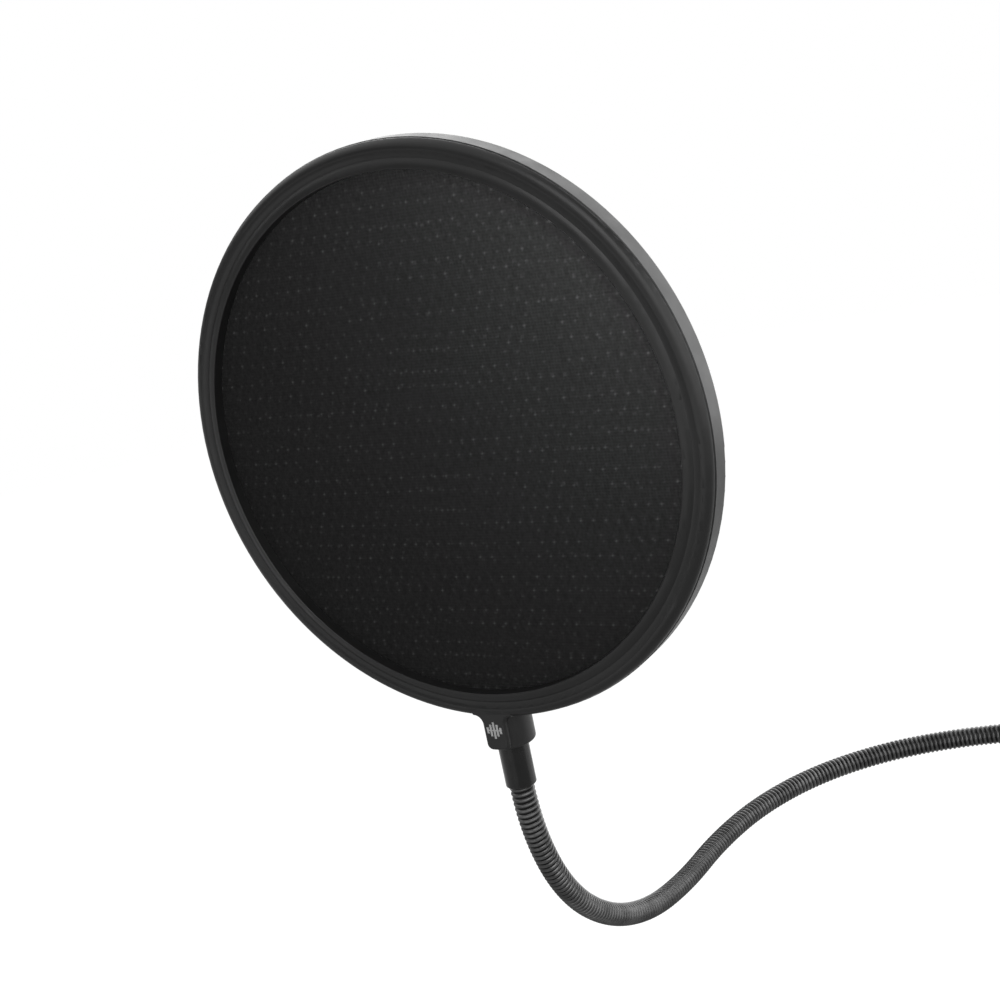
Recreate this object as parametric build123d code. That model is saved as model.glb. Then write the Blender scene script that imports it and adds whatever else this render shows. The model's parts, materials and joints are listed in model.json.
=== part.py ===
from build123d import *
import math
import os

# A pop filter for a microphone: a round fabric screen in a two-part frame, on a gooseneck with a clamp.
# Millimetres, +Z up. The origin is on the axis of the upright pole that the clamp holds, at mid jaw height.
# The screen faces -Y. The screen and its frame are drawn about their own centre, on the frame's rear plane.

# Screen frame
FRAME_R = 77.5  # outside radius
OPENING_R = 70.0  # clear radius of the fabric
FRONT_Y = -8.3  # the groove in the bezel's face, and the tab's face
LIP_Y = -9.2  # the raised lip round the fabric
LIP_EDGE_R = 0.3
CREST_Y = -8.75  # raised outer bead
CREST_R = 74.6
PARTING_Y = -6.3  # where the bezel meets the rear frame
BEZEL_R = FRAME_R - 0.2
GROOVE_INNER_R = 72.7  # the lip slopes down to the groove here
GROOVE_OUTER_R = 73.1
BEAD_MID = (76.43, -8.2)  # middle of the rounded outer edge
WALL_INNER_R = 75.3
SKIRT_R = 75.1  # bezel skirt that plugs into the rear frame
SKIRT_INNER_R = 73.5
SKIRT_END_Y = -3.4
MESH_R = 73.2
MESH_T = 0.4
FRONT_MESH_Y = -5.8  # front face of the front fabric
REAR_LAND_Y = -2.7  # inside face of the rear frame
SPACER_INNER_R = 70.6
EDGE_R = 0.8
PARTING_BEVEL = 0.25

# Boss below the frame: a tab on the bezel, and behind it the socket for the neck
NECK_Y = -1.0  # neck axis, relative to the frame's rear plane
SOCKET_R = 6.7
SOCKET_BOTTOM_Z = -87.2
SOCKET_TOP_Z = -73.0
SOCKET_EDGE_R = 0.7
SEAT_Y = 4.8  # flat seat of the ferrule's screw, on the back of the socket
SEAT_R = 2.4
TAB_HALF_W = 3.6
TAB_BOTTOM_Z = -87.1
TAB_TOP_Z = -74.0
TAB_CORNER_R = 1.8
TAB_FILLET_R = 2.4
TAB_BACK_Y = -6.3
TAB_EDGE_R = 0.9
BADGE_Z = -81.0
BADGE_T = 0.15
BADGE_BAR_W = 0.6
BADGE_BAR_HEIGHTS = (1.8, 3.4, 4.8, 3.4, 1.8)
BADGE_PITCH = 1.0

# Upper ferrule and its screw
FERRULE_R = 4.3
FERRULE_TOP_Z = -80.5
FERRULE_BOTTOM_Z = -100.7
FERRULE_BORE_R = 3.55
FERRULE_BORE_DEPTH = 9.5
FERRULE_BEVEL = 0.6
SOCKET_CLEARANCE = 0.05
SCREW_Z = -83.8
SCREW_SHANK_R = 1.1
SCREW_TIP_Y = -1.5
SCREW_HEAD_R = 2.1
SCREW_HEAD_T = 1.1

# Gooseneck, from the upper ferrule down: it drops, bends back to level, then turns to the clamp
NECK_R = 3.5
SECTION_L = 27.0
DROP_TURNS = (21.5, 22.8, 18.7, 17.0, 10.0)  # degrees in each section, from straight down to level
SIDE_TURNS = (10.0, 15.0, 17.0, 16.0, 13.0, 9.0, 6.0, 4.0)  # degrees in each section, level, to the side
BALL_R = 2.2
CUP_R = 2.5
STEM_R = 1.5
JOINT_GAP = 3.2  # a section's tube stops this far before its lower pivot
NECK_INSERTION = 9.0  # straight end inside a ferrule

# Stand clamp: a C frame, open to +X, with its screw along Y
POLE_R = 10.0
JAW_HALF_H = 12.0
LINER_HALF_H = 11.0
LINER_HALF_W = 9.0
LINER_TIP_Y = 6.2
ARM_T = 6.0
ARM_END_X = 14.0
SPINE_X = -26.0  # outside face of the spine
FIXED_JAW_Y = -15.0  # inside face of the fixed arm
SCREW_ARM_Y = 37.0  # inside face of the screw arm
FRAME_CORNER_R = 5.0
FRAME_INNER_R = 3.0
NOSE_CORNER_R = 4.0
SCREW_BOSS_R = 9.0
SCREW_BOSS_END_Y = 49.0
NECK_BOSS_R = 8.0
NECK_BOSS_X = -34.0
INSERT_R = 5.6
THREAD_R = 3.9  # M8 clamp screw
THREAD_BORE_R = 4.0
SHOE_BACK_Y = 17.0
LINER_BACK_Y = 14.0
HUB_R = 6.5
HUB_END_Y = 24.0
NOSE_CAVITY_R = 4.05
NOSE_CAVITY_Y = 18.0
RETAINER_Y = 21.2
RETAINER_R = 5.2
RETAINER_BORE_R = 3.0
NOSE_DISC_Y = (18.3, 20.9)
NOSE_NECK_R = 2.9
NOSE_SHOULDER_Y = 24.6
SCREW_END_Y = 70.0
KNOB_HUB_Y = 61.0
KNOB_HUB_R = 7.0
KNOB_HUB_T = 2.0
KNOB_END_Y = 81.0
KNOB_R = 13.0
KNOB_SCALLOPS = 8
KNOB_SCALLOP_R = 3.4
KNOB_SCALLOP_AT = 14.6
CAP_R = 7.0
CAP_T = 1.6
CAP_PROUD = 0.5

# Lower end of the neck
STUD_R = 2.95  # M6
STUD_X = (-48.0, -22.0)
LOWER_FERRULE_R = 4.4
LOWER_FERRULE_X = (-58.5, -38.0)
LOWER_BORE_END_X = -49.0
NUT_ACROSS_FLATS = 10.0


def ring(points_and_curves):
    """Turn a closed outline in (radius, y) about the Y axis."""
    outline = Wire(points_and_curves)
    return revolve(make_face(outline), Axis.Y)


def disc(radius, y_low, y_high):
    """A flat disc about the Y axis."""
    return Plane.XZ.offset(-y_low) * extrude(Circle(radius), -(y_high - y_low))


def rod(radius, start, end):
    """A round rod from one point to another."""
    axis = Vector(*end) - Vector(*start)
    return extrude(Plane(origin=start, z_dir=axis) * Circle(radius), axis.length)


def tube(outer, inner, start, end):
    """A round tube from one point to another."""
    return rod(outer, start, end) - rod(inner, start, end)


def front_bezel():
    """Front ring: lip, groove, outer bead, skirt that plugs into the rear frame, and the tab below."""
    lip = (OPENING_R + LIP_EDGE_R, LIP_Y)
    outline = [
        Line((OPENING_R, FRONT_MESH_Y), (OPENING_R, LIP_Y + LIP_EDGE_R)),
        JernArc((OPENING_R, LIP_Y + LIP_EDGE_R), (0, -1), LIP_EDGE_R, 90),
        TangentArc(lip, (GROOVE_INNER_R, FRONT_Y), tangent=(1, 0)),
        Line((GROOVE_INNER_R, FRONT_Y), (GROOVE_OUTER_R, FRONT_Y)),
        TangentArc((GROOVE_OUTER_R, FRONT_Y), (CREST_R, CREST_Y), tangent=(1, 0)),
        ThreePointArc((CREST_R, CREST_Y), BEAD_MID, (BEZEL_R, PARTING_Y - PARTING_BEVEL)),
        Line((BEZEL_R, PARTING_Y - PARTING_BEVEL), (BEZEL_R - PARTING_BEVEL, PARTING_Y)),
        Line((BEZEL_R - PARTING_BEVEL, PARTING_Y), (SKIRT_R, PARTING_Y)),
        Line((SKIRT_R, PARTING_Y), (SKIRT_R, SKIRT_END_Y)),
        Line((SKIRT_R, SKIRT_END_Y), (SKIRT_INNER_R, SKIRT_END_Y)),
        Line((SKIRT_INNER_R, SKIRT_END_Y), (SKIRT_INNER_R, FRONT_MESH_Y)),
        Line((SKIRT_INNER_R, FRONT_MESH_Y), (OPENING_R, FRONT_MESH_Y)),
    ]
    return ring(outline) + tab()


def tab():
    """Flat tab with rounded edges and lower corners that flares into the ring above it."""
    height = TAB_TOP_Z - TAB_BOTTOM_Z
    plate = Pos(0, TAB_BOTTOM_Z + height / 2) * Rectangle(2 * TAB_HALF_W, height)
    plate = fillet(plate.vertices().group_by(Axis.Y)[0], TAB_CORNER_R)
    centre_x = TAB_HALF_W + TAB_FILLET_R
    centre_z = -math.sqrt((BEZEL_R + TAB_FILLET_R) ** 2 - centre_x**2)
    flare = Pos(0, (centre_z + TAB_TOP_Z) / 2) * Rectangle(2 * centre_x, TAB_TOP_Z - centre_z)
    for side in (-1, 1):
        flare -= Pos(side * centre_x, centre_z) * Circle(TAB_FILLET_R)
    flare &= Circle(BEZEL_R) + Pos(0, centre_z / 2 + TAB_TOP_Z / 2) * Rectangle(2 * centre_x, 40)
    shape = plate + flare
    shape -= Circle(SKIRT_R)
    face_plane = Plane(origin=(0, TAB_BACK_Y, 0), x_dir=(1, 0, 0), z_dir=(0, -1, 0))
    body = extrude(face_plane * shape, TAB_BACK_Y - FRONT_Y)
    rim = body.faces().sort_by(Axis.Y)[0].edges()
    rim = [edge for edge in rim if edge.center().Z < -BEZEL_R]
    body = fillet(rim, TAB_EDGE_R)
    slab = Pos(0, (TAB_BACK_Y + FRONT_Y) / 2, -BEZEL_R) * Box(4 * TAB_HALF_W, TAB_BACK_Y - FRONT_Y, 40)
    return body + (socket() & slab) - disc(SKIRT_R, CREST_Y, TAB_BACK_Y)


def rear_frame():
    """Rear ring with its side wall, and the socket that holds the neck's ferrule."""
    wall_top_r = FRAME_R - PARTING_BEVEL
    outline = [
        Line((OPENING_R, REAR_LAND_Y), (OPENING_R, -EDGE_R)),
        JernArc((OPENING_R, -EDGE_R), (0, 1), EDGE_R, -90),
        Line((OPENING_R + EDGE_R, 0), (FRAME_R - EDGE_R, 0)),
        JernArc((FRAME_R - EDGE_R, 0), (1, 0), EDGE_R, -90),
        Line((FRAME_R, -EDGE_R), (FRAME_R, PARTING_Y + PARTING_BEVEL)),
        Line((FRAME_R, PARTING_Y + PARTING_BEVEL), (wall_top_r, PARTING_Y)),
        Line((wall_top_r, PARTING_Y), (WALL_INNER_R, PARTING_Y)),
        Line((WALL_INNER_R, PARTING_Y), (WALL_INNER_R, REAR_LAND_Y)),
        Line((WALL_INNER_R, REAR_LAND_Y), (OPENING_R, REAR_LAND_Y)),
    ]
    body = ring(outline) + rear_socket()
    below = (0, NECK_Y, SOCKET_BOTTOM_Z - 1)
    body -= rod(FERRULE_R + SOCKET_CLEARANCE, below, (0, NECK_Y, FERRULE_TOP_Z))
    body -= rod(SCREW_SHANK_R, (0, NECK_Y, SCREW_Z), (0, SEAT_Y + 1, SCREW_Z))
    return body


def socket():
    """Round socket below the ring, concentric with the neck."""
    body = rod(SOCKET_R, (0, NECK_Y, SOCKET_BOTTOM_Z), (0, NECK_Y, SOCKET_TOP_Z))
    return fillet(body.edges().filter_by(GeomType.CIRCLE), SOCKET_EDGE_R)


def rear_socket():
    """The socket behind the parting line, with a flat seat for the screw."""
    body = socket() - Pos(0, TAB_BACK_Y - SOCKET_R, SOCKET_TOP_Z) * Box(30, 2 * SOCKET_R, 40)
    body -= rod(SEAT_R, (0, SEAT_Y, SCREW_Z), (0, SOCKET_R, SCREW_Z))
    return body - disc(WALL_INNER_R, PARTING_Y - 1, REAR_LAND_Y)


def mesh_spacer():
    """Hoop that keeps the two fabric layers apart and pinches them against the frames."""
    front = disc(MESH_R, FRONT_MESH_Y + MESH_T, REAR_LAND_Y - MESH_T)
    return front - disc(SPACER_INNER_R, FRONT_MESH_Y, REAR_LAND_Y)


def tab_badge():
    """Plain sound-level bars on a thin base line."""
    count = len(BADGE_BAR_HEIGHTS)
    width = (count - 1) * BADGE_PITCH + BADGE_BAR_W
    base = min(BADGE_BAR_HEIGHTS) / 6
    mark = Rectangle(width, base)
    for index, height in enumerate(BADGE_BAR_HEIGHTS):
        x = (index - (count - 1) / 2) * BADGE_PITCH
        mark += Pos(x, 0) * Rectangle(BADGE_BAR_W, height)
    face_plane = Plane(origin=(0, FRONT_Y, BADGE_Z), x_dir=(1, 0, 0), z_dir=(0, -1, 0))
    return extrude(face_plane * mark, BADGE_T)


def upper_ferrule():
    """Sleeve with a solid top that is screwed into the socket, and a bore for the neck's end."""
    top = (0, NECK_Y, FERRULE_TOP_Z)
    bottom = (0, NECK_Y, FERRULE_BOTTOM_Z)
    body = rod(FERRULE_R, bottom, top)
    body = chamfer(body.edges().filter_by(GeomType.CIRCLE).sort_by(Axis.Z)[0], FERRULE_BEVEL)
    body -= rod(FERRULE_BORE_R, bottom, (0, NECK_Y, FERRULE_BOTTOM_Z + FERRULE_BORE_DEPTH))
    return body - rod(SCREW_SHANK_R, (0, SCREW_TIP_Y, SCREW_Z), (0, SEAT_Y, SCREW_Z))


def head_screw():
    """Small domed screw through the back of the socket into the ferrule."""
    seat = (0, SEAT_Y, SCREW_Z)
    outside = (0, SEAT_Y + SCREW_HEAD_T, SCREW_Z)
    head = rod(SCREW_HEAD_R, seat, outside)
    head = fillet(head.edges().filter_by(GeomType.CIRCLE).sort_by(Axis.Y)[-1], SCREW_HEAD_T * 0.8)
    for angle in (0, 90):
        slot = Rot(0, angle, 0) * Box(SCREW_HEAD_R * 1.2, SCREW_HEAD_T, SCREW_HEAD_R * 0.3)
        head -= Pos(*outside) * slot
    return head + rod(SCREW_SHANK_R, (0, SCREW_TIP_Y, SCREW_Z), seat)


def neck_frames():
    """Each pivot's frame along the neck: X along the neck towards the clamp, Z the axis it bends about."""
    frame = Plane(origin=(0, 0, 0), x_dir=(0, 0, -1), z_dir=(1, 0, 0)).location
    frames = [frame]
    for index, turn in enumerate(DROP_TURNS + SIDE_TURNS):
        if index == len(DROP_TURNS):
            frame = frame * Rot(90, 0, 0)
            frames[-1] = frame
        radius = SECTION_L / math.radians(turn)
        along = radius * math.sin(math.radians(turn))
        across = radius * (1 - math.cos(math.radians(turn)))
        frame = frame * Pos(along, across, 0) * Rot(0, 0, turn)
        frames.append(frame)
    shift = Pos(*(Vector(LOWER_FERRULE_X[0], 0, 0) - frames[-1].position))
    return [shift * frame for frame in frames]


def neck_section(turn, first, last):
    """One bent stretch of the neck, from its upper pivot: a cup there, and a ball at its lower end."""
    radius = SECTION_L / math.radians(turn)
    bend = Axis((0, radius, 0), (0, 0, 1))
    tube_turn = turn if last else turn * (SECTION_L - JOINT_GAP) / SECTION_L
    body = revolve(Plane.YZ * Circle(NECK_R), bend, revolution_arc=tube_turn)
    if first:
        body += rod(NECK_R, (-NECK_INSERTION, 0, 0), (0, 0, 0))
    else:
        body -= Sphere(CUP_R)
    end = Pos(radius * math.sin(math.radians(turn)), radius * (1 - math.cos(math.radians(turn))), 0)
    end = end * Rot(0, 0, turn)
    if last:
        return body + end * rod(NECK_R, (0, 0, 0), (NECK_INSERTION, 0, 0))
    body += end * rod(STEM_R, (-JOINT_GAP - 0.8, 0, 0), (0, 0, 0))
    return body + end * Sphere(BALL_R)


def neck_sections(frames):
    """All the neck's stretches, numbered from the head down."""
    turns = DROP_TURNS + SIDE_TURNS
    sections = {}
    for index, turn in enumerate(turns):
        section = neck_section(turn, index == 0, index == len(turns) - 1)
        sections[f"neck_section_{index + 1:02d}"] = frames[index] * section
    return sections


def lower_ferrule():
    """Sleeve on the neck's lower end, tapped for the stud."""
    low, high = LOWER_FERRULE_X
    body = rod(LOWER_FERRULE_R, (low, 0, 0), (high, 0, 0))
    body = chamfer(body.edges().filter_by(GeomType.CIRCLE), FERRULE_BEVEL)
    body -= rod(FERRULE_BORE_R, (low, 0, 0), (LOWER_BORE_END_X, 0, 0))
    return body - rod(STUD_R, (STUD_X[0], 0, 0), (high, 0, 0))


def neck_stud():
    """Threaded stud from the lower ferrule into the clamp."""
    return rod(STUD_R, (STUD_X[0], 0, 0), (STUD_X[1], 0, 0))


def neck_lock_nut():
    """Hexagon nut between the lower ferrule and the clamp's boss."""
    low = LOWER_FERRULE_X[1]
    length = NECK_BOSS_X - low
    hexagon = RegularPolygon(NUT_ACROSS_FLATS / 2, 6, major_radius=False)
    nut = extrude(Plane(origin=(low, 0, 0), z_dir=(1, 0, 0)) * hexagon, length)
    rounded = rod(NUT_ACROSS_FLATS * 0.57, (low, 0, 0), (low + length, 0, 0))
    rounded = chamfer(rounded.edges().filter_by(GeomType.CIRCLE), 0.6)
    return (nut & rounded) - rod(STUD_R, (low, 0, 0), (low + length, 0, 0))


def clamp_frame():
    """C frame with a boss for the neck's stud and a boss for the clamp screw."""
    width = ARM_END_X - SPINE_X
    low_y = FIXED_JAW_Y - ARM_T
    high_y = SCREW_ARM_Y + ARM_T
    outer = Pos(SPINE_X + width / 2, (low_y + high_y) / 2) * Rectangle(width, high_y - low_y)
    outer = fillet(outer.vertices().group_by(Axis.X)[0], FRAME_CORNER_R)
    throat_x = SPINE_X + ARM_T
    throat_w = ARM_END_X - throat_x
    throat = Pos(throat_x + throat_w / 2, (FIXED_JAW_Y + SCREW_ARM_Y) / 2)
    throat = throat * Rectangle(throat_w, SCREW_ARM_Y - FIXED_JAW_Y)
    throat = fillet(throat.vertices().group_by(Axis.X)[0], FRAME_INNER_R)
    body = extrude(Plane.XY.offset(-JAW_HALF_H) * (outer - throat), 2 * JAW_HALF_H)
    tips = body.faces().filter_by(Axis.X).sort_by(Axis.X)[-2:]
    tip_edges = [edge for face in tips for edge in face.edges().filter_by(Axis.Y)]
    body = fillet(tip_edges, NOSE_CORNER_R)
    body = chamfer(spine_rim(body), 0.8)
    body += rod(SCREW_BOSS_R, (0, SCREW_ARM_Y + 1, 0), (0, SCREW_BOSS_END_Y, 0))
    body += rod(NECK_BOSS_R, (NECK_BOSS_X, 0, 0), (SPINE_X + 1, 0, 0))
    body -= rod(INSERT_R, (0, SCREW_ARM_Y, 0), (0, SCREW_BOSS_END_Y, 0))
    return body - rod(STUD_R, (NECK_BOSS_X, 0, 0), (throat_x, 0, 0))


def spine_rim(body):
    """The spine's two long outside edges."""
    spine = body.faces().filter_by(Axis.X).sort_by(Axis.X)[0]
    return spine.edges().filter_by(Axis.Y)


def saddle(back_y, tip_y):
    """Rubber block with a round hollow that fits the pole."""
    depth = abs(back_y - tip_y)
    block = Pos(0, (back_y + tip_y) / 2, 0) * Box(2 * LINER_HALF_W, depth, 2 * LINER_HALF_H)
    return block - rod(POLE_R, (0, 0, -JAW_HALF_H), (0, 0, JAW_HALF_H))


def screw_insert():
    """Threaded bush in the screw arm."""
    return tube(INSERT_R, THREAD_BORE_R, (0, SCREW_ARM_Y, 0), (0, SCREW_BOSS_END_Y, 0))


def pressure_shoe():
    """Moving jaw: a plate with a hub that turns freely on the screw's nose."""
    thickness = SHOE_BACK_Y - LINER_BACK_Y
    plate = Pos(0, LINER_BACK_Y + thickness / 2, 0) * Box(2 * LINER_HALF_W, thickness, 2 * LINER_HALF_H)
    plate = fillet(plate.edges().filter_by(Axis.Y), 2.0)
    body = plate + rod(HUB_R, (0, SHOE_BACK_Y, 0), (0, HUB_END_Y, 0))
    body -= rod(NOSE_CAVITY_R, (0, NOSE_CAVITY_Y, 0), (0, RETAINER_Y, 0))
    return body - rod(RETAINER_R, (0, RETAINER_Y, 0), (0, HUB_END_Y, 0))


def shoe_retainer():
    """Ring that keeps the nose's disc inside the hub."""
    return tube(RETAINER_R, RETAINER_BORE_R, (0, RETAINER_Y, 0), (0, HUB_END_Y, 0))


def clamp_screw():
    """Screw with a disc on its nose."""
    body = rod(NOSE_CAVITY_R - 0.15, (0, NOSE_DISC_Y[0], 0), (0, NOSE_DISC_Y[1], 0))
    body += rod(NOSE_NECK_R, (0, NOSE_DISC_Y[1], 0), (0, NOSE_SHOULDER_Y, 0))
    return body + rod(THREAD_R, (0, NOSE_SHOULDER_Y, 0), (0, SCREW_END_Y, 0))


def clamp_knob():
    """Lobed grip with a short hub."""
    grip_y = KNOB_HUB_Y + KNOB_HUB_T
    body = rod(KNOB_R, (0, grip_y, 0), (0, KNOB_END_Y, 0))
    for index in range(KNOB_SCALLOPS):
        angle = 2 * math.pi * index / KNOB_SCALLOPS
        x = KNOB_SCALLOP_AT * math.cos(angle)
        z = KNOB_SCALLOP_AT * math.sin(angle)
        body -= rod(KNOB_SCALLOP_R, (x, grip_y, z), (x, KNOB_END_Y, z))
    body = chamfer(body.faces().sort_by(Axis.Y)[-1].edges(), 0.8)
    body += rod(KNOB_HUB_R, (0, KNOB_HUB_Y, 0), (0, grip_y, 0))
    body -= rod(THREAD_R, (0, KNOB_HUB_Y, 0), (0, SCREW_END_Y, 0))
    return body - rod(CAP_R, (0, KNOB_END_Y - CAP_T, 0), (0, KNOB_END_Y, 0))


def knob_cap():
    """Flat disc that closes the knob's end."""
    cap = rod(CAP_R, (0, KNOB_END_Y - CAP_T, 0), (0, KNOB_END_Y + CAP_PROUD, 0))
    return chamfer(cap.edges().filter_by(GeomType.CIRCLE).sort_by(Axis.Y)[-1], 0.4)


def build_parts():
    """Every piece at its place, by name."""
    frames = neck_frames()
    neck_top = frames[0].position
    place = Pos(neck_top.X, neck_top.Y - NECK_Y, neck_top.Z - FERRULE_BOTTOM_Z)
    rear_mesh_y = REAR_LAND_Y - MESH_T
    parts = {
        "front_bezel": place * front_bezel(),
        "rear_frame": place * rear_frame(),
        "front_mesh": place * disc(MESH_R, FRONT_MESH_Y, FRONT_MESH_Y + MESH_T),
        "rear_mesh": place * disc(MESH_R, rear_mesh_y, REAR_LAND_Y),
        "mesh_spacer": place * mesh_spacer(),
        "tab_badge": place * tab_badge(),
        "head_screw": place * head_screw(),
        "upper_ferrule": place * upper_ferrule(),
        "lower_ferrule": lower_ferrule(),
        "neck_stud": neck_stud(),
        "neck_lock_nut": neck_lock_nut(),
        "clamp_frame": clamp_frame(),
        "jaw_liner": saddle(FIXED_JAW_Y, -LINER_TIP_Y),
        "screw_insert": screw_insert(),
        "pressure_shoe": pressure_shoe(),
        "shoe_liner": saddle(LINER_BACK_Y, LINER_TIP_Y),
        "shoe_retainer": shoe_retainer(),
        "clamp_screw": clamp_screw(),
        "clamp_knob": clamp_knob(),
        "knob_cap": knob_cap(),
    }
    parts.update(neck_sections(frames))
    return parts


def main():
    os.makedirs("parts", exist_ok=True)
    for name, part in build_parts().items():
        export_step(part, f"parts/{name}.step")


main()
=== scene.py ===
import json
import math

import bmesh
import bpy
import numpy as np
from mathutils import Matrix, Vector


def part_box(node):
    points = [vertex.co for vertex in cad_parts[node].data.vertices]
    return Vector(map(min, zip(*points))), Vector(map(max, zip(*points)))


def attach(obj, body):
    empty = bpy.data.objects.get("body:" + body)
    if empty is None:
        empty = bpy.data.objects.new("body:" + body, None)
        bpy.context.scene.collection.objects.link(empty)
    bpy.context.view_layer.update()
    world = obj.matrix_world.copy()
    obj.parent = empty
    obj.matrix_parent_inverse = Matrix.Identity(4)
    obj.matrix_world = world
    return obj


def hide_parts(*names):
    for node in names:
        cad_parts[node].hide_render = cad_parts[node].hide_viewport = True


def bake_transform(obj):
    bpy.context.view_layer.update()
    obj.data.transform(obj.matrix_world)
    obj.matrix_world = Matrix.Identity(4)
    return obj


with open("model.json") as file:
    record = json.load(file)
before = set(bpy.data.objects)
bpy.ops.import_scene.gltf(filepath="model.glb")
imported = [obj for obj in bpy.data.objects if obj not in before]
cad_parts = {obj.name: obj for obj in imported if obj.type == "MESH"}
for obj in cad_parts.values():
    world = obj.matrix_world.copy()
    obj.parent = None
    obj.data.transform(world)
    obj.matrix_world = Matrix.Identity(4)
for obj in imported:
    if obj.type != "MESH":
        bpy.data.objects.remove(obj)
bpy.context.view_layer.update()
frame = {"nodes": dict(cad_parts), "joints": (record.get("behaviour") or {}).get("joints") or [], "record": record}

# A pop filter: two black fabric screens in a satin frame, on a gooseneck with a stand clamp.
# Lengths are in metres and angles in radians. +Z is up, and the front fabric faces -Y.

# Places taken from the frame
REAR_LAND_DEPTH = 0.0027  # from the rear fabric back to the frame's rear plane, where HEAD lies
mesh_low, mesh_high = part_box("front_mesh")
rear_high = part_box("rear_mesh")[1]
HEAD = Vector(((mesh_low.x + mesh_high.x) / 2, rear_high.y + REAR_LAND_DEPTH, (mesh_low.z + mesh_high.z) / 2))
MESH_R = (mesh_high.x - mesh_low.x) / 2

# Camera, placed from HEAD
CAMERA_AZIMUTH = math.radians(33.45)
CAMERA_ELEVATION = math.radians(15.12)
CAMERA_ROLL = math.radians(-11.62)
CAMERA_DISTANCE = 0.4427
CAMERA_LENS_MM = 61.2
CAMERA_SENSOR_MM = 36.0
CAMERA_CLIP_START = 0.01
AIM_RIGHT = 0.01309
AIM_UP = -0.01731

# Stage. The camera sees it white; the object gets the dimmer light given here.
FLOOR_Z = -0.6  # below the head when the neck bends down
FLOOR_R = 4.0
FLOOR_SIDES = 96
FLOOR_GLOW = 0.24
WORLD_FILL = 0.13
WHITE = (1, 1, 1, 1)

# Softboxes: name, place, target, width, height and radiance. Places and targets are from HEAD.
PANELS = (
    ("back_panel", (0.3, 1.5, 0.42), (0.3, 0, 0.42), 3.6, 1.7, 2.6),
    ("back_low_panel", (0.3, 0.9, -0.46), (0.3, 0.9, 0), 2.0, 1.2, 0.6),
    ("front_panel", (-0.15, -1.5, -0.3), (0, 0, 0), 1.1, 0.7, 1.2),
    ("left_front_panel", (-1.1, -1.0, -0.35), (0, 0, 0), 1.1, 0.9, 0.4),
    ("left_panel", (-1.35, 0.1, -0.3), (0, 0, 0), 1.3, 1.0, 0.45),
    ("right_panel", (1.25, -0.15, 0.27), (0, 0, 0.27), 1.6, 1.0, 1.8),
    ("right_front_panel", (0.85, -1.2, 0.22), (0, 0, 0.2), 1.1, 0.9, 1.5),
    ("key_panel", (0.6, -0.8, 1.0), (0, 0, 0), 1.0, 0.8, 3.0),
    ("top_front_panel", (-0.55, -0.75, 0.9), (0, 0, 0), 1.0, 0.8, 0.6),
    ("top_panel", (-0.25, 0.15, 1.3), (0, 0, 0), 1.4, 1.2, 0.8),
    ("left_top_panel", (-0.95, 0.15, 0.7), (0, 0, 0), 1.0, 0.8, 1.1),
)
FABRIC_LIGHT = ("fabric_light", (0.115, -0.07, 0.095), (0.045, 0, 0.04), 0.05, 0.05, 115)

# Fabric
KNOT_PITCH = 0.00356  # between knots in a row
ROW_PITCH = 0.00467  # between staggered rows
ROW_PAIRING = 0.0005  # rows lie closer together in pairs
GRID_PER_KNOT = 8  # mesh steps in a knot pitch
GRID_PER_ROW = 11  # mesh steps in a row pitch
RIM_GAP = 0.5  # mesh steps left free inside the rim
RIDGE_HEIGHT = 0.00003
RIDGE_HALF_WIDTH = 0.14  # as a share of the ridges' spacing
RIDGE_SHINE = 0.05  # beside a knot's gloss and painted highlight
KNOT_HEIGHT = 0.00014
KNOT_R = 0.00058
KNOT_WEAKEST = 0.1  # knots are raised unevenly, from this share up to their whole height
LATTICE_TURN = 0.09  # between the two crossing lattices
SECOND_LATTICE = 0.7  # its height beside the first
BILLOW = 0.00012
BILLOW_LONG = ((140, 60), (-50, 170))  # two slanting waves, in radians per metre along X and Z
BILLOW_SHORT = (310, 280)  # a chequered wave, likewise
BILLOW_HOLD = 4  # the higher, the closer to the rim the cloth stays slack
RIB_PITCH = {"X": 0.00089, "Z": 0.00078}
WAVE_RATE = 20  # radians per unit in a wave texture of scale 1

# Gooseneck
WIRE_R = 0.00058
WIRE_RING_R = 0.0035 - WIRE_R
WIRE_PITCH = 0.0016
WIRE_SIDES = 10
WEDGE_R = 0.00305
WEDGE_HALF_WIDTH = 0.00042
WEDGE_CROWN = 0.00008
WEDGE_DEPTH = 0.0006
NECK_INSERTION = 0.006  # how far the wires go into each ferrule
STATIONS_PER_TURN = 36

# Threads. The depth, the crest, and both flanks together are shares of the pitch.
THREAD_STEPS = 8  # rows of points in each turn
THREAD_SIDES = 40
THREAD_DEPTH = 0.61
THREAD_CREST = 0.12
THREAD_FLANK = 0.74
THREAD_LEAD_IN = 0.2  # share of its height that a thread starts with
SCREW_PITCH = 0.00125
STUD_PITCH = 0.001
NOSE_CHAMFER = 0.0004
NOSE_DISC_L = 0.0026
NOSE_NECK_R = 0.0029
NOSE_L = 0.0063


# ---------------------------------------------------------------- helpers


def link(name, mesh):
    """A new object for a mesh."""
    piece = bpy.data.objects.new(name, mesh)
    bpy.context.scene.collection.objects.link(piece)
    return piece


def build_mesh(name, vertices, faces, sharp=math.radians(35)):
    """A mesh with smooth faces and sharp creases."""
    mesh = bpy.data.meshes.new(name)
    mesh.from_pydata([tuple(v) for v in vertices], [], faces)
    work = bmesh.new()
    work.from_mesh(mesh)
    bmesh.ops.recalc_face_normals(work, faces=work.faces)
    work.to_mesh(mesh)
    work.free()
    mesh.shade_smooth()
    mesh.set_sharp_from_angle(angle=sharp)
    return mesh


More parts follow.
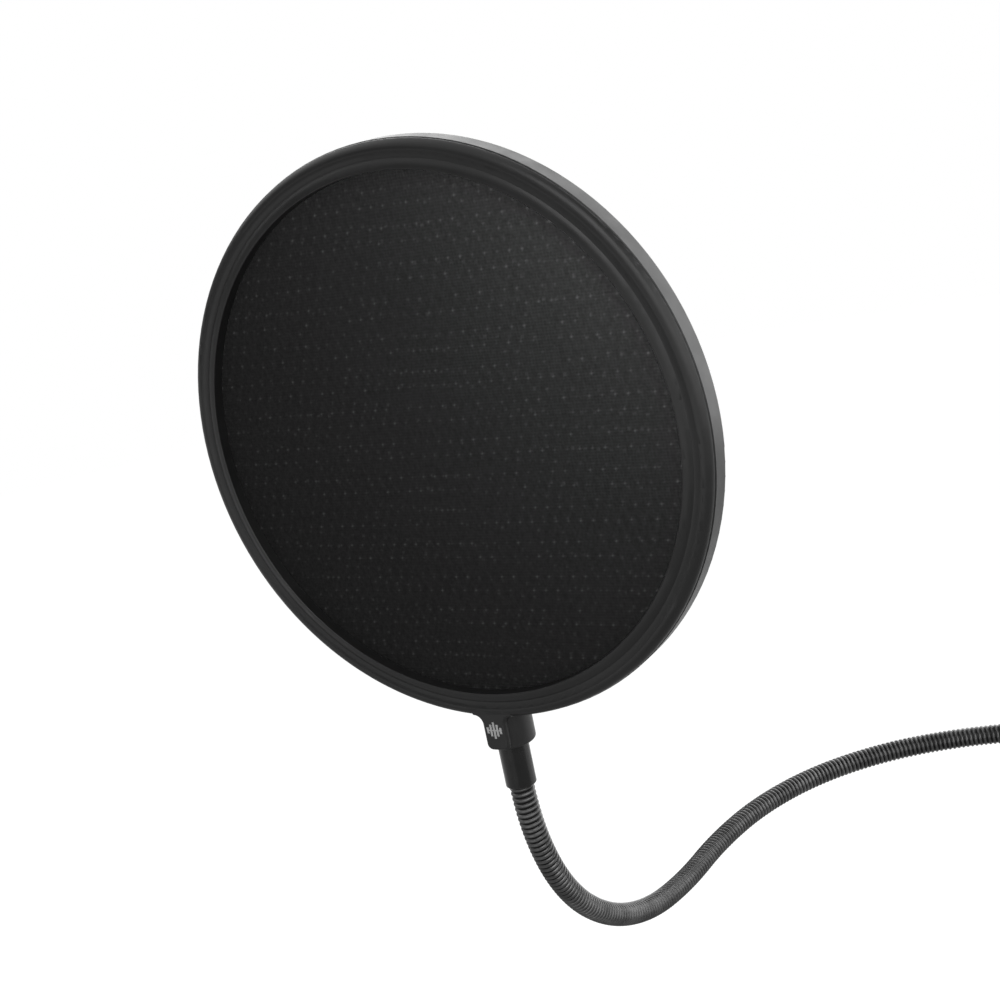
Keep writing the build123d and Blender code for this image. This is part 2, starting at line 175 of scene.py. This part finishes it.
def tube_faces(rings, sides):
    """Faces of a closed tube: squares from ring to ring, and a cap at each end."""
    faces = [
        (n * sides + j, n * sides + (j + 1) % sides, (n + 1) * sides + (j + 1) % sides, (n + 1) * sides + j)
        for n in range(rings - 1)
        for j in range(sides)
    ]
    faces.append(tuple(reversed(range(sides))))
    faces.append(tuple((rings - 1) * sides + j for j in range(sides)))
    return faces


# ---------------------------------------------------------------- materials


class Finish:
    """A principled material, and the few node chains that these finishes share."""

    def __init__(self, name, color, roughness, **sockets):
        self.material = bpy.data.materials.new(name)
        self.material.use_nodes = True
        self.nodes = self.material.node_tree.nodes
        self.links = self.material.node_tree.links
        self.shader = self.nodes["Principled BSDF"]
        self.shader.inputs["Base Color"].default_value = (*color, 1)
        self.shader.inputs["Roughness"].default_value = roughness
        for socket, value in sockets.items():
            self.shader.inputs[socket.replace("_", " ")].default_value = value
        self.place = self.nodes.new("ShaderNodeTexCoord").outputs["Object"]
        self.normal = None

    def noise(self, size, detail=3.0, stretch=None):
        """Noise whose grains are about size across; stretch lengthens them along each axis."""
        place = self.place
        if stretch:
            mapping = self.nodes.new("ShaderNodeMapping")
            mapping.inputs["Scale"].default_value = [1 / s for s in stretch]
            self.links.new(place, mapping.inputs["Vector"])
            place = mapping.outputs["Vector"]
        node = self.nodes.new("ShaderNodeTexNoise")
        node.inputs["Scale"].default_value = 1 / size
        node.inputs["Detail"].default_value = detail
        self.links.new(place, node.inputs["Vector"])
        return node.outputs["Fac"]

    def spread(self, value, low, high, from_low=0.3, from_high=0.7):
        """Map a value's middle range to low..high."""
        node = self.nodes.new("ShaderNodeMapRange")
        node.inputs["From Min"].default_value = from_low
        node.inputs["From Max"].default_value = from_high
        node.inputs["To Min"].default_value = low
        node.inputs["To Max"].default_value = high
        self.links.new(value, node.inputs["Value"])
        return node.outputs["Result"]

    def combine(self, operation, a, b):
        """One step of arithmetic. The second value may be a plain number."""
        node = self.nodes.new("ShaderNodeMath")
        node.operation = operation
        self.links.new(a, node.inputs[0])
        if isinstance(b, float):
            node.inputs[1].default_value = b
        else:
            self.links.new(b, node.inputs[1])
        return node.outputs["Value"]

    def colors(self, factor, dark, light):
        """Base colour from dark to light by a factor."""
        node = self.nodes.new("ShaderNodeMix")
        node.data_type = "RGBA"
        node.inputs["A"].default_value = (*dark, 1)
        node.inputs["B"].default_value = (*light, 1)
        self.links.new(factor, node.inputs["Factor"])
        self.links.new(node.outputs["Result"], self.shader.inputs["Base Color"])

    def bump(self, height, depth, strength=1.0):
        """Add relief to what the surface already has."""
        node = self.nodes.new("ShaderNodeBump")
        node.inputs["Strength"].default_value = strength
        node.inputs["Distance"].default_value = depth
        self.links.new(height, node.inputs["Height"])
        if self.normal:
            self.links.new(self.normal, node.inputs["Normal"])
        self.normal = node.outputs["Normal"]
        self.links.new(self.normal, self.shader.inputs["Normal"])

    def edges(self, radius):
        """About 1 along sharp edges and 0 on flat faces."""
        bevel = self.nodes.new("ShaderNodeBevel")
        bevel.samples = 6
        bevel.inputs["Radius"].default_value = radius
        geometry = self.nodes.new("ShaderNodeNewGeometry")
        dot = self.nodes.new("ShaderNodeVectorMath")
        dot.operation = "DOT_PRODUCT"
        self.links.new(bevel.outputs["Normal"], dot.inputs[0])
        self.links.new(geometry.outputs["Normal"], dot.inputs[1])
        return self.spread(dot.outputs["Value"], 1.0, 0.0, from_low=0.86, from_high=0.99)

    def tint(self, dark, light, size, detail=3.0):
        """Patches from a dark to a light colour."""
        self.colors(self.spread(self.noise(size, detail), 0, 1), dark, light)

    def rub(self, low, high, size, detail=3.0):
        """Patches from a low to a high roughness."""
        self.rough(self.spread(self.noise(size, detail), low, high))

    def rough(self, value):
        self.links.new(value, self.shader.inputs["Roughness"])

    def grain(self, size, depth, detail=3.0, stretch=None):
        """Fine relief."""
        self.bump(self.noise(size, detail, stretch), depth)


def grey(level):
    return (level, level, level)


def frame_plastic():
    """Satin black moulding with a fine spark-eroded grain."""
    finish = Finish("frame_plastic", grey(0.0085), 0.4, Specular_IOR_Level=0.42)
    finish.tint(grey(0.0075), grey(0.0100), size=0.02, detail=2.0)
    finish.rub(0.36, 0.44, size=0.006, detail=4.0)
    finish.grain(size=0.00035, depth=0.000004, detail=2.0)
    return finish.material


def mesh_fabric():
    """Black knit: matt threads with shinier knots, and fine ribs both ways. Knots and ridges are also painted
    lighter, as a painted highlight.
    """
    finish = Finish("mesh_fabric", grey(0.012), 0.75,
                    Specular_IOR_Level=0.06, Sheen_Weight=0.01, Sheen_Roughness=0.5)
    knit = finish.nodes.new("ShaderNodeAttribute")
    knit.attribute_name = "knit"
    raised = knit.outputs["Fac"]
    fluff = finish.combine("MULTIPLY", finish.noise(size=0.0009, detail=2.0), 0.35)
    tone_and_highlight = finish.combine("ADD", fluff, raised)
    # Knots and ridges are painted lighter than the fluff's own uneven tone: a painted highlight beside their real
    # gloss.
    finish.colors(finish.spread(tone_and_highlight, 0, 1, from_low=0.1, from_high=1.1), grey(0.0036), grey(0.026))
    finish.rough(finish.spread(raised, 0.8, 0.5, from_low=0.0, from_high=1.0))
    for axis, period in RIB_PITCH.items():
        wave = finish.nodes.new("ShaderNodeTexWave")
        wave.bands_direction = axis
        wave.inputs["Scale"].default_value = 2 * math.pi / (WAVE_RATE * period)
        wave.inputs["Distortion"].default_value = 0.6
        finish.links.new(finish.place, wave.inputs["Vector"])
        finish.bump(wave.outputs["Fac"], depth=0.00005, strength=0.6)
    return finish.material


def badge_print():
    """Light grey print."""
    finish = Finish("badge_print", grey(0.35), 0.5)
    finish.tint(grey(0.32), grey(0.38), size=0.0004)
    finish.rub(0.42, 0.58, size=0.001)
    finish.grain(size=0.0002, depth=0.000006)
    return finish.material


def painted(name, level, rough_low, rough_high, peel, worn, shine):
    """Painted metal: orange peel of a depth, and a little bare metal of a worn level along its edges."""
    finish = Finish(name, grey(level), rough_low, Specular_IOR_Level=shine)
    edges = finish.edges(radius=0.0003)
    chips = finish.spread(finish.noise(size=0.0012, detail=4.0), 0, 1, from_low=0.42, from_high=0.62)
    finish.colors(finish.combine("MULTIPLY", edges, chips), grey(level), grey(worn))
    finish.rub(rough_low, rough_high, size=0.004, detail=4.0)
    finish.grain(size=0.0007, depth=peel, detail=2.0)
    return finish.material


def neck_steel(name, level):
    """Black oxidised steel wire, rubbed brighter in places."""
    finish = Finish(name, grey(level), 0.34, Metallic=0.85)
    finish.tint(grey(level * 0.75), grey(level * 1.3), size=0.006, detail=4.0)
    finish.rub(0.28, 0.42, size=0.002, detail=4.0)
    finish.grain(size=0.0003, depth=0.000004, detail=2.0)
    return finish.material


def turned_metal(name, color, dark, light, patch, rough_patch):
    """Bare metal with turning marks."""
    finish = Finish(name, color, 0.3, Metallic=1.0)
    finish.tint(dark, light, size=patch)
    finish.rub(0.22, 0.4, size=rough_patch)
    finish.grain(size=0.0002, depth=0.000006, stretch=(1, 0.2, 1))
    return finish.material


def liner_rubber():
    """Matt black rubber."""
    finish = Finish("liner_rubber", grey(0.02), 0.85, Specular_IOR_Level=0.3)
    finish.tint(grey(0.016), grey(0.028), size=0.004)
    finish.rub(0.78, 0.92, size=0.001)
    finish.grain(size=0.0005, depth=0.00003)
    return finish.material


def knob_plastic(name, level, rough, grain):
    """Textured black moulding."""
    finish = Finish(name, grey(level), rough, Specular_IOR_Level=0.45)
    finish.tint(grey(level * 0.85), grey(level * 1.25), size=0.005)
    finish.rub(rough - 0.05, rough + 0.07, size=0.002)
    finish.grain(size=grain, depth=0.00002, detail=2.0)
    return finish.material


MATERIALS = {
    "frame_plastic": frame_plastic(),
    "mesh_fabric": mesh_fabric(),
    "badge_print": badge_print(),
    "ferrule_black": painted("ferrule_black", 0.008, 0.2, 0.28, peel=0.000003, worn=0.08, shine=0.38),
    "neck_steel": neck_steel("neck_steel", 0.10),
    # The wedge wire takes the same steel darkened nearly to black: painted shade in the gaps between the round
    # wire's turns.
    "neck_wedge_painted_shade": neck_steel("neck_wedge_painted_shade", 0.012),
    "screw_steel": turned_metal("screw_steel", grey(0.42), grey(0.34), grey(0.48), 0.003, 0.0009),
    "clamp_paint": painted("clamp_paint", 0.014, 0.42, 0.56, peel=0.00002, worn=0.25, shine=0.5),
    "liner_rubber": liner_rubber(),
    "insert_brass": turned_metal(
        "insert_brass", (0.66, 0.45, 0.17), (0.55, 0.36, 0.13), (0.72, 0.5, 0.2), 0.002, 0.0008),
    "knob_plastic": knob_plastic("knob_plastic", 0.013, 0.5, grain=0.0005),
    "cap_plastic": knob_plastic("cap_plastic", 0.03, 0.4, grain=0.0009),
}


def give(piece, name):
    """Put one material on a whole piece."""
    piece.data.materials.clear()
    piece.data.materials.append(MATERIALS[name])


def finish_cad_nodes():
    """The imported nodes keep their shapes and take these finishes."""
    for row in frame["record"]["subparts"]:
        node = frame["nodes"][row["node"]]
        give(node, row["material_slot"])


# ---------------------------------------------------------------- fabric


def knit_values(x, z, rng):
    """How raised the knit is at points of the disc: slanting ridges, and knots of two crossing lattices."""
    ridge = np.zeros_like(x)
    knot = np.zeros_like(x)
    for turn, weight in ((0.0, 1.0), (LATTICE_TURN, SECOND_LATTICE)):
        across = x * math.cos(turn) - z * math.sin(turn)
        up = x * math.sin(turn) + z * math.cos(turn)
        paired = up + ROW_PAIRING * np.cos(math.pi * up / ROW_PITCH)
        p = across / KNOT_PITCH + paired / (2 * ROW_PITCH)
        q = across / KNOT_PITCH - paired / (2 * ROW_PITCH)
        row_p = np.round(p).astype(int)
        row_q = np.round(q).astype(int)
        off_p = p - row_p
        off_q = q - row_q
        lines = np.clip(1 - np.minimum(np.abs(off_p), np.abs(off_q)) / RIDGE_HALF_WIDTH, 0, 1)
        away = np.hypot((off_p + off_q) / 2 * KNOT_PITCH, (off_p - off_q) * ROW_PITCH)
        first = min(row_p.min(), row_q.min())
        size = max(row_p.max(), row_q.max()) - first + 1
        strength = rng.uniform(KNOT_WEAKEST, 1.0, (size, size))[row_p - first, row_q - first]
        ridge = np.maximum(ridge, weight * lines)
        knot = np.maximum(knot, weight * strength * np.clip(1 - away / KNOT_R, 0, 1))
    return ridge, knot


def billow_values(x, z, rng):
    """How far the cloth waves inward, from 0 to -1. It is held flat at the rim."""
    phases = rng.uniform(0, 2 * math.pi, 4)
    waves = np.sin(x * BILLOW_SHORT[0] + phases[2]) * np.sin(z * BILLOW_SHORT[1] + phases[3])
    for (rate_x, rate_z), phase in zip(BILLOW_LONG, phases):
        waves = waves + np.sin(x * rate_x + z * rate_z + phase)
    lowest = len(BILLOW_LONG) + 1
    slack = np.clip(1 - (np.hypot(x, z) / MESH_R) ** BILLOW_HOLD, 0, 1)
    return slack * (waves / (2 * lowest) - 0.5)


def corners(grid):
    """Views of a grid at the four corners of each of its squares, in order round the square."""
    return grid[:-1, :-1], grid[1:, :-1], grid[1:, 1:], grid[:-1, 1:]


def disc_grid():
    """A grid cut to the disc, with its outermost points moved out onto the rim."""
    step_x = KNOT_PITCH / GRID_PER_KNOT
    step_z = ROW_PITCH / GRID_PER_ROW
    across = int(MESH_R / step_x)
    tall = int(MESH_R / step_z)
    i, k = np.meshgrid(np.arange(-across, across + 1), np.arange(-tall, tall + 1), indexing="ij")
    x = i * step_x
    z = k * step_z
    inside = np.hypot(x, z) <= MESH_R - RIM_GAP * step_x
    squares = np.logical_and.reduce(corners(inside))
    used = np.zeros_like(inside)
    for corner in corners(used):
        corner |= squares
    whole = np.zeros_like(inside)
    whole[1:-1, 1:-1] = np.logical_and.reduce(corners(squares))
    rim = used & ~whole
    radius = np.hypot(x, z)[rim]
    x[rim] = x[rim] / radius * MESH_R
    z[rim] = z[rim] / radius * MESH_R
    return x, z, used, squares


def fabric_disc(name, face_y, outward, seed):
    """A stretched round of knit: its raised side faces outward along Y."""
    x, z, used, squares = disc_grid()
    rng = np.random.default_rng(seed)
    ridge, knot = knit_values(x, z, rng)
    height = RIDGE_HEIGHT * (ridge - 1) + KNOT_HEIGHT * (knot - 1) + BILLOW * billow_values(x, z, rng)
    y = face_y + outward * height
    index = -np.ones(used.shape, int)
    index[used] = np.arange(used.sum())
    vertices = np.stack([HEAD.x + x[used], y[used], HEAD.z + z[used]], 1)
    order = [corner[squares] for corner in corners(index)]
    if outward > 0:
        order = [order[0], *reversed(order[1:])]
    mesh = bpy.data.meshes.new(name)
    mesh.from_pydata(vertices.tolist(), [], np.stack(order, 1).tolist())
    mesh.shade_smooth()
    # Knit: how raised and glossy each point is. The fabric material also paints it lighter, as a painted
    # highlight.
    attribute = mesh.attributes.new("knit", "FLOAT", "POINT")
    attribute.data.foreach_set("value", np.maximum(RIDGE_SHINE * ridge, knot)[used].astype(np.float32))
    return link(name, mesh)


def make_fabrics():
    for name, node, face_y, outward, seed in (
        ("front_fabric", "front_mesh", mesh_low.y, -1, 3),
        ("rear_fabric", "rear_mesh", rear_high.y, 1, 5),
    ):
        piece = fabric_disc(name, face_y, outward, seed)
        give(piece, "mesh_fabric")
        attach(piece, "head")
        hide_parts(node)


# ---------------------------------------------------------------- gooseneck


def neck_joints():
    """The neck's pivots, from the head down."""
    found = [j for j in frame["joints"] if j["name"].startswith("neck_bend_")]
    return sorted(found, key=lambda j: j["name"])


def neck_arcs():
    """The neck's centre line as tangent arcs from one pivot to the next."""
    upper_low, upper_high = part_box("upper_ferrule")
    lower_low, lower_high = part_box("lower_ferrule")
    top = Vector(((upper_low.x + upper_high.x) / 2, (upper_low.y + upper_high.y) / 2, upper_low.z))
    bottom = Vector((lower_low.x, (lower_low.y + lower_high.y) / 2, (lower_low.z + lower_high.z) / 2))
    points = [top] + [Vector(j["pos_m"]) for j in neck_joints()] + [bottom]
    along = Vector((0, 0, -1))
    side = Vector((1, 0, 0))
    arcs = []
    for start, end in zip(points, points[1:]):
        chord = end - start
        half = along.angle(chord)
        axis = along.cross(chord).normalized()
        radius = chord.length / (2 * math.sin(half))
        arcs.append((start, along.copy(), side.copy(), axis, radius, 2 * half))
        turn = Matrix.Rotation(2 * half, 3, axis)
        along = turn @ along
        side = turn @ side
    return arcs, bottom, along, side


ARCS, NECK_END, END_ALONG, END_SIDE = neck_arcs()
ARC_LENGTHS = [radius * turn for *_, radius, turn in ARCS]
NECK_L = sum(ARC_LENGTHS)


def neck_at(s):
    """Centre, direction and side of the neck at a distance along it. Past either end it runs straight."""
    if s <= 0:
        start, along, side = ARCS[0][:3]
        return start + along * s, along, side
    for (start, along, side, axis, radius, turn), length in zip(ARCS, ARC_LENGTHS):
        if s <= length:
            angle = s / radius
            inward = axis.cross(along)
            centre = start + along * (radius * math.sin(angle)) + inward * (radius * (1 - math.cos(angle)))
            spin = Matrix.Rotation(angle, 3, axis)
            return centre, spin @ along, spin @ side
        s -= length
    return NECK_END + END_ALONG * s, END_ALONG, END_SIDE


def coil(name, first, last, profile, phase):
    """A wire wound round the neck's centre line. Its profile is (radius, distance along) points."""
    turns = (last - first) / WIRE_PITCH
    stations = max(2, round(turns * STATIONS_PER_TURN)) + 1
    vertices = []
    for n in range(stations):
        s = first + (last - first) * n / (stations - 1)
        angle = 2 * math.pi * s / WIRE_PITCH + phase
        centre, along, side = neck_at(s)
        out = side * math.cos(angle) + along.cross(side) * math.sin(angle)
        vertices += [centre + out * r + along * a for r, a in profile]
    return link(name, build_mesh(name, vertices, tube_faces(stations, len(profile))))


def make_neck():
    """Round wire with a wedge wire sunk between its turns, split at the middle of each section."""
    angles = [2 * math.pi * j / WIRE_SIDES for j in range(WIRE_SIDES)]
    round_wire = [(WIRE_RING_R + WIRE_R * math.cos(a), WIRE_R * math.sin(a)) for a in angles]
    wedge_wire = [
        (WEDGE_R, -WEDGE_HALF_WIDTH),
        (WEDGE_R + WEDGE_CROWN, 0),
        (WEDGE_R, WEDGE_HALF_WIDTH),
        (WEDGE_R - WEDGE_DEPTH, 0),
    ]
    count = len(ARCS)
    middles = [sum(ARC_LENGTHS[:k]) + ARC_LENGTHS[k] / 2 for k in range(count)]
    cuts = [-NECK_INSERTION] + middles + [NECK_L + NECK_INSERTION]
    for k, (first, last) in enumerate(zip(cuts, cuts[1:])):
        wire = coil(f"neck_wire_{k:02d}", first, last, round_wire, 0.0)
        wedge = coil(f"neck_wedge_{k:02d}", first, last, wedge_wire, math.pi)
        give(wire, "neck_steel")
        # The wedge wire's darkened steel is painted shade in the gaps between the turns.
        give(wedge, "neck_wedge_painted_shade")
        for piece in (wire, wedge):
            if 0 < k < count:
                neck_at(first)[0]
                neck_at(last)[0]
                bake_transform(piece)
            else:
                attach(piece, "head" if k == 0 else "clamp")
        if k > 0:
            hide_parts(f"neck_section_{k:02d}")


# ---------------------------------------------------------------- threads


def thread_radius(angle, distance, start, end, crest_r, pitch):
    """A thread's radius at an angle and a distance along its rod. It fades in and out at its two ends."""
    full = min(1.0, (end - distance) / pitch, (distance - start) / pitch + THREAD_LEAD_IN)
    slope = abs(2 * ((distance / pitch - angle / (2 * math.pi)) % 1) - 1)
    cut = min(1.0, max(0.0, (slope - THREAD_CREST) / THREAD_FLANK))
    return crest_r - THREAD_DEPTH * pitch * max(cut, 1 - full)


def threaded_rod(name, start, along, outline, length, crest_r, pitch):
    """A rod from start along a direction: a plain nose of (distance, radius) points, then a thread."""
    plain_end = outline[-1][0] if outline else 0.0
    side = along.orthogonal().normalized()
    other = along.cross(side)
    angles = [2 * math.pi * j / THREAD_SIDES for j in range(THREAD_SIDES)]
    rings = [(distance, [radius] * THREAD_SIDES) for distance, radius in outline]
    steps = round((length - plain_end) / (pitch / THREAD_STEPS))
    for n in range(steps + 1):
        distance = plain_end + (length - plain_end) * n / steps
        radii = [thread_radius(a, distance, plain_end, length, crest_r, pitch) for a in angles]
        rings.append((distance, radii))
    vertices = [
        start + along * distance + (side * math.cos(angle) + other * math.sin(angle)) * radius
        for distance, radii in rings
        for angle, radius in zip(angles, radii)
    ]
    return link(name, build_mesh(name, vertices, tube_faces(len(rings), THREAD_SIDES)))


def make_threads():
    """The clamp screw with its nose disc, and the stud that holds the neck to the clamp."""
    low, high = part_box("clamp_screw")
    middle = (low + high) / 2
    crest = (high.x - low.x) / 2
    nose = [
        (0.0, crest - NOSE_CHAMFER),
        (NOSE_CHAMFER, crest),
        (NOSE_DISC_L, crest),
        (NOSE_DISC_L, NOSE_NECK_R),
        (NOSE_L, NOSE_NECK_R),
    ]
    start = Vector((middle.x, low.y, middle.z))
    length = high.y - low.y
    screw = threaded_rod("threaded_screw", start, Vector((0, 1, 0)), nose, length, crest, SCREW_PITCH)
    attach(screw, "screw")
    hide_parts("clamp_screw")
    low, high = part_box("neck_stud")
    middle = (low + high) / 2
    start = Vector((low.x, middle.y, middle.z))
    crest = (high.z - low.z) / 2
    length = high.x - low.x
    stud = threaded_rod("threaded_stud", start, Vector((1, 0, 0)), [], length, crest, STUD_PITCH)
    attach(stud, "clamp")
    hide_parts("neck_stud")
    for piece in (screw, stud):
        give(piece, "screw_steel")


# ---------------------------------------------------------------- stage, light and camera


def make_world():
    """White to the camera, and a dim even fill for everything else."""
    world = bpy.data.worlds.new("studio")
    bpy.context.scene.world = world
    world.use_nodes = True
    nodes = world.node_tree.nodes
    links = world.node_tree.links
    nodes.clear()
    fill = nodes.new("ShaderNodeBackground")
    fill.inputs["Strength"].default_value = WORLD_FILL
    fill.inputs["Color"].default_value = WHITE
    seen = nodes.new("ShaderNodeBackground")
    seen.inputs["Color"].default_value = WHITE
    path = nodes.new("ShaderNodeLightPath")
    mix = nodes.new("ShaderNodeMixShader")
    out = nodes.new("ShaderNodeOutputWorld")
    links.new(path.outputs["Is Camera Ray"], mix.inputs["Fac"])
    links.new(fill.outputs["Background"], mix.inputs[1])
    links.new(seen.outputs["Background"], mix.inputs[2])
    links.new(mix.outputs["Shader"], out.inputs["Surface"])


def floor_paper():
    """Paper that glows white to the camera and dimly in reflections."""
    finish = Finish("floor_paper", grey(0.1), 0.9)
    finish.tint(grey(0.09), grey(0.11), size=0.3)
    glow = finish.nodes.new("ShaderNodeEmission")
    glow.inputs["Color"].default_value = WHITE
    path = finish.nodes.new("ShaderNodeLightPath")
    strength = finish.spread(path.outputs["Is Camera Ray"], FLOOR_GLOW, 1.0, from_low=0.0, from_high=1.0)
    finish.links.new(strength, glow.inputs["Strength"])
    both = finish.nodes.new("ShaderNodeAddShader")
    finish.links.new(finish.shader.outputs["BSDF"], both.inputs[0])
    finish.links.new(glow.outputs["Emission"], both.inputs[1])
    finish.links.new(both.outputs["Shader"], finish.nodes["Material Output"].inputs["Surface"])
    return finish.material


def make_floor():
    """A plain round floor under the head."""
    vertices = [(0, 0, FLOOR_Z)]
    for n in range(FLOOR_SIDES):
        angle = 2 * math.pi * n / FLOOR_SIDES
        vertices.append((HEAD.x + FLOOR_R * math.cos(angle), HEAD.y + FLOOR_R * math.sin(angle), FLOOR_Z))
    faces = [(0, 1 + n, 1 + (n + 1) % FLOOR_SIDES) for n in range(FLOOR_SIDES)]
    floor = link("floor", build_mesh("floor", vertices, faces))
    floor.data.materials.append(floor_paper())


def area_light(name, place, target, width, height, radiance):
    """A softbox aimed at a target, both given from HEAD."""
    data = bpy.data.lights.new(name, "AREA")
    data.shape = "RECTANGLE"
    data.size = width
    data.size_y = height
    data.energy = radiance * math.pi * width * height
    lamp = bpy.data.objects.new(name, data)
    bpy.context.scene.collection.objects.link(lamp)
    lamp.location = HEAD + Vector(place)
    aim = HEAD + Vector(target) - lamp.location
    lamp.rotation_euler = aim.to_track_quat("-Z", "Y").to_euler()
    lamp.visible_camera = False
    return lamp


def make_lights():
    """Large panels all round, and a small softbox that lights and is shaded by the fabrics alone."""
    for panel in PANELS:
        area_light(*panel)
    graze = area_light(*FABRIC_LIGHT)
    lit = bpy.data.collections.new("fabric_light")
    for name in ("front_fabric", "rear_fabric"):
        lit.objects.link(bpy.data.objects[name])
    graze.light_linking.receiver_collection = lit
    graze.light_linking.blocker_collection = lit


def make_camera():
    toward = Vector((
        math.sin(CAMERA_AZIMUTH) * math.cos(CAMERA_ELEVATION),
        -math.cos(CAMERA_AZIMUTH) * math.cos(CAMERA_ELEVATION),
        math.sin(CAMERA_ELEVATION),
    ))
    level_right = Vector((0, 0, 1)).cross(toward).normalized()
    level_up = toward.cross(level_right)
    right = level_right * math.cos(CAMERA_ROLL) + level_up * math.sin(CAMERA_ROLL)
    up = level_up * math.cos(CAMERA_ROLL) - level_right * math.sin(CAMERA_ROLL)
    data = bpy.data.cameras.new("camera")
    data.lens = CAMERA_LENS_MM
    data.sensor_width = CAMERA_SENSOR_MM
    data.clip_start = CAMERA_CLIP_START
    camera = bpy.data.objects.new("camera", data)
    bpy.context.scene.collection.objects.link(camera)
    turn = Matrix((right, up, toward)).transposed().to_4x4()
    place = HEAD + right * AIM_RIGHT + up * AIM_UP + toward * CAMERA_DISTANCE
    camera.matrix_world = Matrix.Translation(place) @ turn
    bpy.context.scene.camera = camera
    bpy.context.scene.view_settings.view_transform = "Standard"


make_camera()
make_world()
make_floor()
finish_cad_nodes()
make_fabrics()
make_neck()
make_threads()
make_lights()
